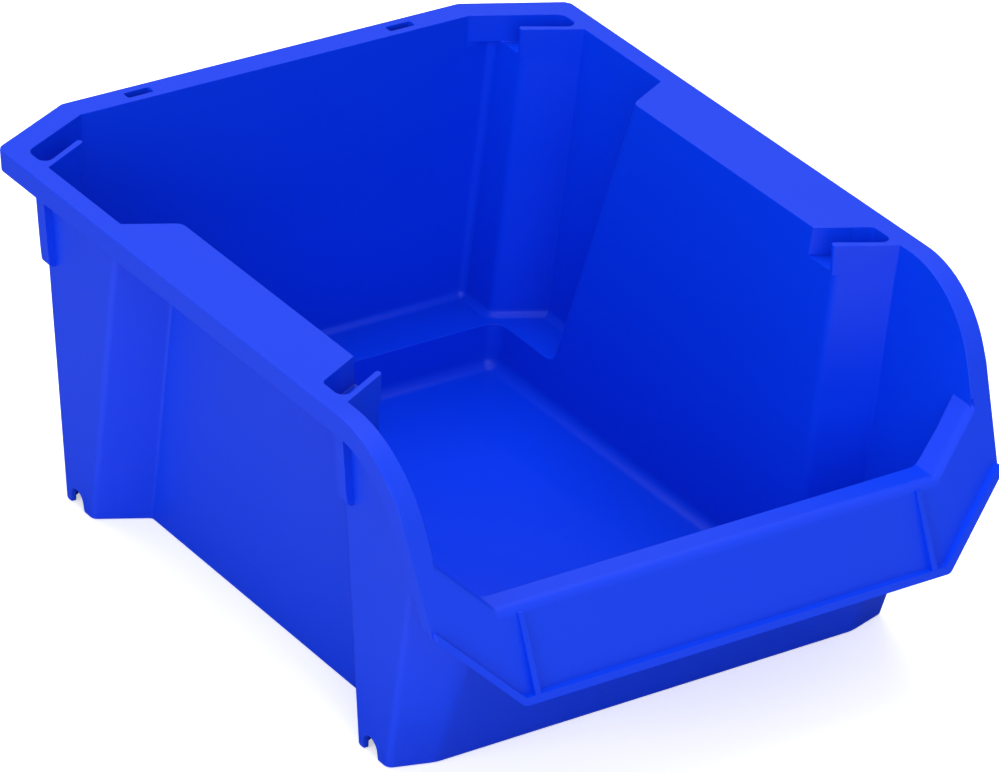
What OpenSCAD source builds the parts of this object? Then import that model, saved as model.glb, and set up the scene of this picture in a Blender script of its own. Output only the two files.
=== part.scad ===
// Stackable open-front storage bin, moulded in one colour of polypropylene.
// The bin stands on z = 0 with +Z up, its open front faces -Y and it is
// symmetric about the plane x = 0. The origin is the middle of the base.
// Every wall, rim, nib and rib is its own solid and they meet face to face.

/* [Overall size] */
// Width over the rim
bin_w = 220; // [200:1:270]
// Depth from the back rim to the label ledge
bin_d = 280; // [250:1:340]
// Height of the rim above the base
bin_h = 124; // [110:1:150]
// Thickness of every wall
wall = 2.2; // [1.6:0.1:2.8]

/* [Rim] */
// Width of the rim along the sides
rim_w = 7.3; // [6:0.1:10]
// Width of the rim along the back
rim_back_w = 9.4; // [9:0.1:13]
// Height of the skirt that hangs from the rim
skirt_h = 8; // [5:0.5:11]
// Length of the slanted rear corner along the back
corner_x = 33.5; // [28:0.5:40]
// Length of the slanted rear corner along the side
corner_y = 17; // [12:0.5:22]
// How far the rim's inner corner lies inside its outer corner, along the back
corner_in = 1.5; // [0:0.1:4]
// Length of each hanging slot
slot_l = 9.5; // [6:0.5:14]
// Width of each hanging slot
slot_w = 3.3; // [2.5:0.1:3.6]
// Distance of each hanging slot from the middle of the bin
slot_x = 50.4; // [30:0.1:60]

/* [Side walls and columns] */
// Draft of the side walls in degrees
draft = 5; // [3:0.5:6]
// Width of the shelf, which is also how far each column stands out
shelf_w = 17; // [13:0.5:20]
// Angle in plan of the slanted column walls
splay = 28; // [22:1:34]
// Forward lean of the front edge of each column
lean = 13.9; // [8:0.1:16]
// Distance from the back of the bin to the rear columns
rear_col = 34.6; // [30:0.1:38]
// Distance from the front columns to the foot of the front wall
front_col_gap = 21.5; // [21:0.1:30]
// Length of each foot along the side of the bin
foot_l = 17; // [14:0.5:20]

/* [Base] */
// Height of the rear ledge and of the pocket floors in the columns
ledge_h = 18.3; // [14:0.1:24]
// Distance from the back of the bin to the front of the rear ledge
ledge_d = 31; // [28:0.5:36]
// Width of the notch in each foot
notch_w = 7.6; // [3:0.1:9]
// Height of the notch in each foot
notch_h = 6.6; // [5:0.1:9]
// Distance of the notch from the rear edge of the foot
notch_gap = 3.6; // [2.4:0.1:6]

/* [Stacking nibs] */
// Depth of the stacking slots below the rim
nib_h = 10; // [8:0.5:14]
// Length of each nib across the bin
nib_l = 17.5; // [12:0.5:20]
// Width of each stacking slot, measured along the side of the bin
slot_gap = 11.2; // [8:0.2:14]

/* [Front and lip] */
// How far the foot of the front wall is set back from the label ledge
front_setback = 47.1; // [44:0.1:54]
// How far the foot of the front wall ends inside the rim's outer edge, at each side
front_side_gap = 31; // [27:0.5:38]
// Lean of the front wall in degrees
front_lean = 19.8; // [14:0.1:21]
// Lean of the label panel and of the front edges in degrees
face_lean = 23; // [18:0.5:26]
// Height of the top of the front lip
lip_h = 71.8; // [60:0.2:78]
// Height of the label panel and its ledge
label_h = 26.6; // [20:0.2:32]
// How far the lip's level top ends inside the rim's outer edge, at each side
lip_side_gap = 28.5; // [26:0.5:34]
// How far the lip's level bottom ends inside the rim's outer edge, at each side
label_side_gap = 30.6; // [26:0.2:34]
// Slope of the cheeks at the two ends of the lip in degrees
cheek_rise = 43; // [38:1:48]
// Radius of the shoulder where the rim turns down to the front
shoulder_r = 39; // [30:1:46]
// How far the label ledge stands out
ledge_out = 2.5; // [1.5:0.1:4]
// How far each label rib stands out at its top
rib_top = 0.8; // [0.4:0.1:1.5]
// Distance of each label rib from the end of the lip's level bottom
rib_gap = 5.3; // [4:0.1:18]

/* [Rim tabs] */
// How far each tab stands out from its column
tab_out = 2.9; // [2:0.1:3.6]
// Length of each tab along the side of the bin
tab_l = 5; // [4:0.5:8]
// Height of each tab below the rim's skirt
tab_h = 26; // [12:1:34]

/* [Hidden] */
$fn = 48;
blue = "#0039e0";
slack = 1;
rib_w = 2;
// Width of the skirt where it ends beside the lip
skirt_end = 5;
// Half width and rear edge of the bin
half_w = bin_w / 2;
back_y = bin_d / 2;
// Foot of the front wall and rear edge of the front columns, from the back of the bin
front_wall_y = bin_d - front_setback;
front_col = front_wall_y - front_col_gap;
// Half widths of the front wall's foot, of the lip's level edges and between the label ribs
front_half_w = half_w - front_side_gap;
lip_half_w = half_w - lip_side_gap;
label_half_w = half_w - label_side_gap;
rib_x = label_half_w - rib_gap;
// Levels that follow the twist of the front corners
corner_levels = 12;
// Top of the walls, which is the underside of the rim
wall_top = bin_h - wall;
slot_floor = bin_h - nib_h;
label_bottom = lip_h - label_h;
// Distance from the back of the bin to the front face of the label panel at lip height
face_d = bin_d - ledge_out - label_h * tan(face_lean);
// Rise of the lip's slanted ends for each millimetre across
rise = tan(cheek_rise);

// ---- Places on the right-hand half of the bin ----

// y of a point that lies d forward of the back of the bin
function at(d) = back_y - d;
// Outer faces of the columns and of the recessed side walls at height z
function x_col(z) = half_w - rim_w + wall - (bin_h - z) * tan(draft);
function x_rec(z) = x_col(z) - shelf_w;
function run() = shelf_w * tan(splay);
// Front plane: distance from the back of the bin at height z
function face(z) = face_d + (lip_h - z) * tan(face_lean);
// Outer face of the shoulder and of its skirt at height z
function x_flange(z) = half_w - (bin_h - z) * tan(draft);

// Corners of the outer surface at height z, from the back to the front
function outer(z) = [
    [x_rec(z), at(rim_back_w - wall)],
    [x_rec(z), at(rear_col) + run()],
    [x_col(z), at(rear_col)],
    [x_col(z), at(rear_col + foot_l + z * tan(lean))],
    [x_rec(z), at(rear_col + foot_l + z * tan(lean)) - run()],
    [x_rec(z), at(front_col) + run()],
    [x_col(z), at(front_col)],
    [x_col(z), at(front_col + foot_l + z * tan(lean))],
    [front_half_w + z * (lip_half_w - front_half_w) / lip_h, at(front_wall_y + z * tan(front_lean))]
];

// Outward normal of the wall that runs from a to b
function normal(a, b) = [a[1] - b[1], b[0] - a[0]] / norm(b - a);
// Corner b moved inward by the wall's thickness
function inset(a, b, c) = b - wall * (normal(a, b) + normal(b, c)) / (1 + normal(a, b) * normal(b, c));
function flip(p) = [-p[0], p[1]];
function inner(z) = let (o = outer(z), n = len(o) - 1) [
    for (i = [0 : n])
        inset(i == 0 ? flip(o[0]) : o[i - 1], o[i], i == n ? flip(o[n]) : o[i + 1])
];
function raise(p, z) = [p[0], p[1], z];

// ---- Building blocks ----

// Solid between two outlines with the same number of corners, both anticlockwise from above
module block(low, high) {
    n = len(low);
    polyhedron(
        points = concat(low, high),
        faces = concat(
            [[for (i = [0 : n - 1]) i], [for (i = [n - 1 : -1 : 0]) n + i]],
            [for (i = [0 : n - 1]) [i, n + i, n + (i + 1) % n, (i + 1) % n]]
        )
    );
}

// Solid whose outline in plan at height z is plan(z), from z0 up to z1
module loft(plan, z0, z1) {
    block([for (p = plan(z0)) raise(p, z0)], [for (p = plan(z1)) raise(p, z1)]);
}

// Outline between corners i and i + 1 of the wall at height z
function wall_plan(i, z) = [inner(z)[i], inner(z)[i + 1], outer(z)[i + 1], outer(z)[i]];
// Wall between corners i and i + 1 of the outline, from z0 up to z1
module panel(i, z0, z1) {
    loft(function (z) wall_plan(i, z), z0, z1);
}

// Outline that spans the bin from side to side between y0 and y1, reaching x to each side
function across(x, y0, y1) = [[-x, y1], [x, y1], [x, y0], [-x, y0]];

// Draws the right-hand piece, or the left-hand one
module hand(side) {
    color(blue) mirror([side == "left" ? 1 : 0, 0, 0]) children();
}

// A level plate with its top at z
module plate(points, z, t = wall) {
    translate([0, 0, z - t]) linear_extrude(t) polygon(points);
}

// Turns an outline drawn in y and z into a solid from x0 to x1
module along_x(x0, x1) {
    translate([x0, 0, 0]) rotate([90, 0, 90]) linear_extrude(x1 - x0) children();
}

// Turns an outline drawn in x and z into a solid from y0 forward to y1
module along_y(y0, y1) {
    translate([0, y0, 0]) rotate([90, 0, 0]) linear_extrude(y0 - y1) children();
}

// ---- Side profile, drawn in y and z ----

// Length from the start of the shoulder's arc to where the rim would meet the front plane
function tangent() = shoulder_r * tan((90 - face_lean) / 2);
function arc_start() = face(bin_h) - tangent();
// Points of the shoulder's arc, d inside the outer edge, from the rim down
function arc(d) = [for (a = [90 : -(90 - face_lean) / 12 : face_lean - 0.01])
    [at(arc_start() + (shoulder_r - d) * cos(a)), bin_h - shoulder_r + (shoulder_r - d) * sin(a)]];
// The arc continued to height low, d0 inside the outer edge on the arc and d1 at its end
function profile(d0, d1, low) = concat(arc(d0), [[at(face(low) - d1 / cos(face_lean)), low]]);
function turned(p) = [for (i = [len(p) - 1 : -1 : 0]) p[i]];

// ---- Base ----

module floor_panel() {
    color(blue) loft(
        function (z) across(x_rec(z) - wall, at(ledge_d), inner(z)[8][1]), 0, wall
    );
}

// Low wall along the side of the floor, in line with the recessed side wall
module floor_riser(side) {
    hand(side) loft(
        function (z) [
            [x_rec(z) - wall, inner(z)[8][1]], [x_rec(z), inner(z)[8][1]],
            [x_rec(z), at(ledge_d)], [x_rec(z) - wall, at(ledge_d)]
        ], 0, ledge_h
    );
}

module rear_ledge() {
    color(blue) loft(
        function (z) across(x_rec(z), at(rim_back_w), at(ledge_d - wall)), ledge_h - wall, ledge_h
    );
}

module rear_ledge_riser() {
    color(blue) loft(
        function (z) across(x_rec(z), at(ledge_d - wall), at(ledge_d)), 0, ledge_h
    );
}

// Where the inner face of the slanted wall that ends at p crosses the recessed side's outer face
function at_recess(p, z, way) = [x_rec(z), p[1] + way * (p[0] - x_rec(z)) * tan(splay)];

// Pocket floors close the columns at ledge height and leave the feet hollow below
module rear_pocket_floor(side) {
    hand(side) loft(
        function (z) [
            at_recess(inner(z)[3], z, -1), inner(z)[3], inner(z)[2], at_recess(inner(z)[2], z, 1)
        ], ledge_h - wall, ledge_h
    );
}

module front_pocket_floor(side) {
    hand(side) loft(
        function (z) [
            [x_rec(z), inner(z)[8][1]], inner(z)[8], inner(z)[7], inner(z)[6],
            at_recess(inner(z)[6], z, 1)
        ], ledge_h - wall, ledge_h
    );
}

// ---- Walls ----

module back_wall() {
    color(blue) loft(
        function (z) [flip(inner(z)[0]), inner(z)[0], outer(z)[0], flip(outer(z)[0])],
        ledge_h - wall, wall_top
    );
}

// Short wall from the back wall to the rear column
module return_wall(side) {
    hand(side) panel(0, ledge_h, slot_floor);
}

// The slanted back of each column, whose upper edge carries the nib
module column_back(i) {
    panel(i, ledge_h, slot_floor);
    loft(
        function (z) [
            at_recess(inner(z)[i + 1], z, 1), inner(z)[i + 1], outer(z)[i + 1], outer(z)[i]
        ], 0, ledge_h
    );
}
module rear_column_back(side) {
    hand(side) column_back(1);
}
module front_column_back(side) {
    hand(side) column_back(5);
}

// Arched notch at the bottom of a foot, which sits over a nib of the bin below
module notch(d) {
    r = notch_w / 2;
    y = at(d + notch_gap + r);
    translate([0, y, notch_h - r]) rotate([0, 90, 0]) cylinder(h = half_w, r = r);
    translate([0, y - r, -slack]) cube([half_w, notch_w, notch_h - r + slack]);
}

module rear_column_side(side) {
    hand(side) difference() {
        panel(2, 0, wall_top);
        notch(rear_col);
    }
}

module rear_column_front(side) {
    hand(side) {
        panel(3, ledge_h, wall_top);
        loft(
            function (z) [
                inner(z)[3], at_recess(inner(z)[3], z, -1), outer(z)[4], outer(z)[3]
            ], 0, ledge_h
        );
    }
}

// y of the outer face of a column's back wall, and of the far edge of its slot, at x
function column_back_y(d, x, z) = at(d) + (x_col(z) - x) * tan(splay);
function slot_edge_y(d, x) = column_back_y(d, x, bin_h) + slot_gap;

// The side wall stops lower where the stacking slot crosses it
module side_wall(side) {
    hand(side) {
        panel(4, ledge_h, slot_floor);
        loft(
            function (z) [
                inner(z)[4], [x_rec(z) - wall, slot_edge_y(front_col, x_rec(z) - wall)],
                [x_rec(z), slot_edge_y(front_col, x_rec(z))], outer(z)[4]
            ], slot_floor, wall_top
        );
    }
}

// Inner face of the column sides at height z
function x_in(z) = x_col(z) - wall;
// Corner where the lip's level top turns up, and the height where its slanted end meets the side
lip_corner = inner(lip_h)[8];
lip_end_x = (x_in(lip_h) - lip_corner[0] * tan(draft) * rise) / (1 - tan(draft) * rise);
lip_end_z = lip_h + (lip_end_x - lip_corner[0]) * rise;

// Slab between two faces that both follow the draft, x0 and x1 inside the shoulder's outer face
module draft_slab(x0, x1) {
    loft(
        function (z) [
            [x_flange(z) - x0, at(bin_d)], [x_flange(z) - x1, at(bin_d)],
            [x_flange(z) - x1, at(0)], [x_flange(z) - x0, at(0)]
        ], 0, bin_h
    );
}

// Side of the front column, which reaches forward to the shoulder above the lip
module front_column_side(side) {
    z_end = lip_end_z - wall;
    hand(side) difference() {
        intersection() {
            draft_slab(rim_w, rim_w - wall);
            along_x(0, half_w) polygon(concat(
                profile(wall, wall, z_end),
                [[outer(z_end)[7][1], z_end], [outer(0)[7][1], 0], [at(front_col), 0], [at(front_col), wall_top]]
            ));
        }
        panel(5, 0, slot_floor);
        panel(7, 0, z_end);
        notch(front_col);
    }
}

// Slanted front corner. It twists from its foot up to z0, and above that its upper edge
// rises with the end of the lip to z1
module corner_body(z0, z1) {
    n = 4 * corner_levels;
    polyhedron(
        points = concat(
            [for (k = [0 : corner_levels], z = z0 * k / corner_levels, p = wall_plan(7, z)) raise(p, z)],
            [raise(inner(z1)[7], z1), raise(outer(z1)[7], z1)]
        ),
        faces = concat(
            [[0, 1, 2, 3]],
            // inner face, end at the front wall, outer face and end at the column
            [for (k = [0 : 4 : n - 4], f = [
                [0, 4, 5], [0, 5, 1], [1, 5, 6], [1, 6, 2], [2, 6, 3], [6, 7, 3], [3, 7, 4], [3, 4, 0]
            ]) [f[0] + k, f[1] + k, f[2] + k]],
            // slanted upper end
            [[n + 4, n + 5, n + 2], [n + 4, n + 2, n + 1], [n, n + 4, n + 1],
                [n + 3, n + 2, n + 5], [n, n + 3, n + 5], [n, n + 5, n + 4]]
        )
    );
}
module front_corner(side) {
    hand(side) corner_body(lip_h - wall, lip_end_z - wall);
}

module front_wall() {
    color(blue) loft(
        function (z) [flip(outer(z)[8]), outer(z)[8], inner(z)[8], flip(inner(z)[8])],
        0, lip_h - wall
    );
}

// ---- Rim ----

// Corners of the rim's outer edge and of its inner edge on the right
rim_outer = [[half_w - corner_x, at(0)], [half_w, at(corner_y)]];
corner_slope = corner_y / corner_x;
corner_start = half_w - corner_x - corner_in;
// y of the rim's inner edge along the slanted corner
function corner_line(x) = at(rim_back_w) - (x - corner_start) * corner_slope;
rim_inner = [[corner_start, at(rim_back_w)], [x_in(bin_h), corner_line(x_in(bin_h))]];
rim_end = [half_w, at(arc_start())];
// Inner face of the skirt at the two corners
skirt_inner = [
    inset(flip(rim_outer[0]), rim_outer[0], rim_outer[1]),
    inset(rim_outer[0], rim_outer[1], rim_end)
];

module rim_back() {
    color(blue) difference() {
        union() {
            plate([flip(rim_inner[0]), flip(rim_outer[0]), rim_outer[0], rim_inner[0]], bin_h);
            plate([flip(skirt_inner[0]), flip(rim_outer[0]), rim_outer[0], skirt_inner[0]],
                wall_top, skirt_h - wall);
        }
        // hanging slots, in the middle of the strip between the skirt and the back wall
        for (s = [-1, 1])
            translate([s * slot_x - slot_l / 2, at(rim_back_w / 2 + slot_w / 2), bin_h - 2 * wall])
                cube([slot_l, slot_w, 3 * wall]);
    }
}

module rim_corner(side) {
    hand(side) {
        plate([rim_inner[0], rim_outer[0], rim_outer[1], rim_inner[1]], bin_h);
        plate([skirt_inner[0], rim_outer[0], rim_outer[1], skirt_inner[1]], wall_top, skirt_h - wall);
    }
}

module rim_side(side) {
    hand(side) {
        plate([rim_inner[1], rim_outer[1], rim_end, [x_in(bin_h), rim_end[1]]], bin_h);
        plate([skirt_inner[1], rim_outer[1], rim_end, [half_w - wall, rim_end[1]]],
            wall_top, skirt_h - wall);
    }
}

module shelf(side) {
    p = inner(bin_h)[3];
    q = inner(bin_h)[4];
    hand(side) plate(
        [p, q, [q[0], slot_edge_y(front_col, q[0])], [p[0], slot_edge_y(front_col, p[0])]], bin_h
    );
}

// The rim turns down over the shoulder, and its skirt runs on to the end of the lip
module shoulder(side) {
    hand(side) {
        intersection() {
            draft_slab(rim_w, 0);
            along_x(0, half_w) polygon(concat(
                profile(0, 0, lip_end_z), turned(profile(wall, wall, lip_end_z))
            ));
        }
        intersection() {
            draft_slab(wall, 0);
            along_x(0, half_w) polygon(concat(
                profile(wall, wall, cheek_z), turned(profile(skirt_h, skirt_end, cheek_z))
            ));
        }
    }
}

// ---- Stacking slots, nibs and tabs ----

// Floor of a slot, with the short walls that drop to it from the rim
module rear_slot(side) {
    x1 = rim_inner[1][0];
    x2 = x1 + wall;
    x3 = x_rec(slot_floor);
    drop = wall * norm([1, corner_slope]);
    hand(side) {
        loft(
            function (z) [
                [x_rec(z), column_back_y(rear_col, x_rec(z), z)],
                [x2, column_back_y(rear_col, x2, z)],
                [x2, corner_line(x2) + drop], [x_rec(z), corner_line(x_rec(z)) + drop]
            ], slot_floor - wall, slot_floor
        );
        plate([
            [x3, corner_line(x3)], [x1, corner_line(x1)], [x1, at(rear_col)], [x2, at(rear_col)],
            [x2, corner_line(x2) + drop], [x3, corner_line(x3) + drop]
        ], wall_top, wall_top - slot_floor);
        plate([
            rim_inner[0], [x3, corner_line(x3)], [x3, at(rim_back_w)]
        ], wall_top, wall_top - slot_floor);
    }
}

module front_slot(side) {
    x1 = x_in(bin_h);
    x2 = x1 + wall;
    drop = wall / cos(splay);
    hand(side) {
        loft(
            function (z) [
                [x_rec(z), column_back_y(front_col, x_rec(z), z)],
                [x2, column_back_y(front_col, x2, z)],
                [x2, slot_edge_y(front_col, x2) + drop],
                [x_rec(z), slot_edge_y(front_col, x_rec(z)) + drop]
            ], slot_floor - wall, slot_floor
        );
        loft(
            function (z) [
                [x_rec(z), slot_edge_y(front_col, x_rec(z))], [x1, slot_edge_y(front_col, x1)],
                [x2, slot_edge_y(front_col, x1)], [x2, slot_edge_y(front_col, x2) + drop],
                [x_rec(z), slot_edge_y(front_col, x_rec(z)) + drop]
            ], slot_floor, wall_top
        );
        plate([
            [x1, at(front_col)], [x2, at(front_col)],
            [x2, slot_edge_y(front_col, x1)], [x1, slot_edge_y(front_col, x1)]
        ], wall_top, wall_top - slot_floor);
    }
}

// Nib on the slanted back of a column, with a rounded inner end
module nib(d) {
    x1 = x_in(bin_h);
    x0 = x1 - nib_l;
    t = wall / cos(splay);
    y0 = column_back_y(d, x0, slot_floor);
    y1 = column_back_y(d, x1, slot_floor);
    difference() {
        union() {
            plate([[x0, y0], [x1, y1], [x1, y1 - t], [x0, y0 - t]], bin_h, nib_h);
            translate([x0, y0 - t / 2, slot_floor]) cylinder(h = nib_h, d = wall);
        }
        // the side of the column, which stands beside the root of the nib
        loft(
            function (z) [[x_in(z), -back_y], [half_w, -back_y], [half_w, back_y], [x_in(z), back_y]],
            slot_floor - slack, wall_top
        );
    }
}
module rear_nib(side) {
    hand(side) nib(rear_col);
}
module front_nib(side) {
    hand(side) nib(front_col);
}

// Tab under the rim, outside the rear edge of a column, with a rounded lower corner
module tab(d) {
    low = bin_h - skirt_h - tab_h;
    r = tab_out * 0.8;
    y = at(d + slack);
    along_y(y, y - tab_l) polygon(concat(
        [[x_col(wall_top), wall_top], [x_col(low), low]],
        [for (a = [-90 : 15 : 0])
            [x_col(low) + tab_out - r + r * cos(a), low + r + r * sin(a)]],
        [[x_col(wall_top) + tab_out, wall_top]]
    ));
}
module rear_tab(side) {
    hand(side) tab(rear_col);
}
module front_tab(side) {
    hand(side) tab(front_col);
}

// ---- Lip ----

// A corner of the wall's outline at height z, moved forward to the front plane
function on_face(p, z) = [p[0], at(face(z)), z];

module lip_top() {
    color(blue) loft(
        function (z) across(inner(z)[8][0], inner(z)[8][1], at(face(z))), lip_h - wall, lip_h
    );
}

// Corners of the lip's slanted end, z0 high at the level part and z1 high at the side
function lip_end_plan(z0, z1) = [
    on_face(inner(z0)[8], z0), on_face(inner(z1)[7], z1),
    raise(inner(z1)[7], z1), raise(inner(z0)[8], z0)
];
module lip_end(side) {
    hand(side) block(
        lip_end_plan(lip_h - wall, lip_end_z - wall), lip_end_plan(lip_h, lip_end_z)
    );
}

// Slab that lies in the front plane, from d out from the face to t behind that
module face_slab(d, t) {
    y0 = at(face(0) + d);
    y1 = at(face(bin_h) + d);
    along_x(-half_w, half_w) polygon([[y0, 0], [y1, bin_h], [y1 + t, bin_h], [y0 + t, 0]]);
}

module label_panel() {
    color(blue) intersection() {
        face_slab(0, wall / cos(face_lean));
        along_y(0, -bin_d) polygon([
            [-rib_x, label_bottom], [rib_x, label_bottom], [rib_x, lip_h - wall], [-rib_x, lip_h - wall]
        ]);
    }
}

// Lower outer corner of each cheek, where its slanted edge meets the shoulder's outer face
cheek_x = (x_flange(label_bottom) - label_half_w * tan(draft) * rise) / (1 - tan(draft) * rise);
cheek_z = label_bottom + (cheek_x - label_half_w) * rise;

module cheek(side) {
    z0 = lip_h - wall;
    z1 = lip_end_z - wall;
    hand(side) intersection() {
        face_slab(0, wall / cos(face_lean));
        along_y(0, -bin_d) polygon([
            [rib_x, label_bottom], [label_half_w, label_bottom], [cheek_x, cheek_z],
            [x_flange(lip_end_z), lip_end_z], [lip_end_x, lip_end_z],
            [x_in(z1), z1], [inner(z0)[8][0], z0], [rib_x, z0]
        ]);
    }
}

module label_ledge() {
    t = wall / cos(cheek_rise);
    x0 = label_half_w + (wall - t) / rise;
    right = [
        [x0, label_bottom + wall], [cheek_x, cheek_z + t], [cheek_x, cheek_z], [label_half_w, label_bottom]
    ];
    color(blue) intersection() {
        face_slab(ledge_out, ledge_out);
        along_y(0, -bin_d) polygon(concat(right, [for (p = turned(right)) flip(p)]));
    }
}

module label_rib(side) {
    z0 = label_bottom + wall;
    z1 = lip_h - wall / 2;
    hand(side) along_x(rib_x - rib_w / 2, rib_x + rib_w / 2) polygon([
        [at(face(z0)), z0], [at(face(z1)), z1],
        [at(face(z1) + rib_top), z1], [at(face(z0) + ledge_out), z0]
    ]);
}

floor_panel();
rear_ledge();
rear_ledge_riser();
floor_riser("left");  // floor_riser_left
floor_riser("right");  // floor_riser_right
rear_pocket_floor("left");  // rear_pocket_floor_left
rear_pocket_floor("right");  // rear_pocket_floor_right
front_pocket_floor("left");  // front_pocket_floor_left
front_pocket_floor("right");  // front_pocket_floor_right
back_wall();
return_wall("left");  // return_wall_left
return_wall("right");  // return_wall_right
rear_column_back("left");  // rear_column_back_left
rear_column_back("right");  // rear_column_back_right
rear_column_side("left");  // rear_column_side_left
rear_column_side("right");  // rear_column_side_right
rear_column_front("left");  // rear_column_front_left
rear_column_front("right");  // rear_column_front_right
side_wall("left");  // side_wall_left
side_wall("right");  // side_wall_right
front_column_back("left");  // front_column_back_left
front_column_back("right");  // front_column_back_right
front_column_side("left");  // front_column_side_left
front_column_side("right");  // front_column_side_right
front_corner("left");  // front_corner_left
front_corner("right");  // front_corner_right
front_wall();
rim_back();
rim_corner("left");  // rim_corner_left
rim_corner("right");  // rim_corner_right
rim_side("left");  // rim_side_left
rim_side("right");  // rim_side_right
shelf("left");  // shelf_left
shelf("right");  // shelf_right
shoulder("left");  // shoulder_left
shoulder("right");  // shoulder_right
rear_slot("left");  // rear_slot_left
rear_slot("right");  // rear_slot_right
front_slot("left");  // front_slot_left
front_slot("right");  // front_slot_right
rear_nib("left");  // rear_nib_left
rear_nib("right");  // rear_nib_right
front_nib("left");  // front_nib_left
front_nib("right");  // front_nib_right
rear_tab("left");  // rear_tab_left
rear_tab("right");  // rear_tab_right
front_tab("left");  // front_tab_left
front_tab("right");  // front_tab_right
lip_top();
lip_end("left");  // lip_end_left
lip_end("right");  // lip_end_right
label_panel();
cheek("left");  // cheek_left
cheek("right");  // cheek_right
label_ledge();
label_rib("left");  // label_rib_left
label_rib("right");  // label_rib_right
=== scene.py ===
"""A stackable open-front storage bin in blue polypropylene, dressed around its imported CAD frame.

The bin is one moulding. Its body is cut and joined here as one closed form, its edges are
rounded, and it is then divided into its named regions, so that no seam shows between them.
Sizes in the classes are in millimetres. Every mesh is made in metres.
"""
import logging
import math
from dataclasses import dataclass
from enum import Enum

import bmesh
import bpy
from mathutils import Matrix, Vector
from mathutils.bvhtree import BVHTree
from mathutils.geometry import intersect_line_line_2d


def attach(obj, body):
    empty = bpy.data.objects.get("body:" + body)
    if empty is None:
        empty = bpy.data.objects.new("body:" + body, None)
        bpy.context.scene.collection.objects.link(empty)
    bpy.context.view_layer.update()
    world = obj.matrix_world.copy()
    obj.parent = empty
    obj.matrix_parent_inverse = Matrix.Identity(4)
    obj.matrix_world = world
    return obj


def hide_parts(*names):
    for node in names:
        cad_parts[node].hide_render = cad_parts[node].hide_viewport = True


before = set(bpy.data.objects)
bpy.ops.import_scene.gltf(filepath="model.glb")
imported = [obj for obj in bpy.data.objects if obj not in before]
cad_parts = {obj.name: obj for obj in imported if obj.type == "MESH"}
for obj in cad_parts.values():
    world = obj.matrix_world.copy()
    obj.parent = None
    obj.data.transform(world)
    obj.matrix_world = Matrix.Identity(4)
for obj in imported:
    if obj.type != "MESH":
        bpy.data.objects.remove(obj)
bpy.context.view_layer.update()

LOG = logging.getLogger("storage_bin")
MM = 0.001

Point = tuple[float, float]
Spot = tuple[float, float, float]
Loop = list[Spot]

# Angles in degrees at which the rounded bottom edges are drawn
QUARTER_TURN = (0, 22.5, 45, 67.5, 90)
# Heights between the ledge and the rim at which the twisted walls are drawn
WALL_LEVELS = (36, 54, 72, 90, 107)
# Places in BinSizes.corners() of the front column's front edge and the front wall's end
COLUMN_END, WALL_END = 7, 8


def tan(degrees: float) -> float:
    """Returns the tangent of an angle in degrees."""
    return math.tan(math.radians(degrees))


def cos(degrees: float) -> float:
    """Returns the cosine of an angle in degrees."""
    return math.cos(math.radians(degrees))


def sin(degrees: float) -> float:
    """Returns the sine of an angle in degrees."""
    return math.sin(math.radians(degrees))


# ---------------------------------------------------------------- sizes


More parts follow.
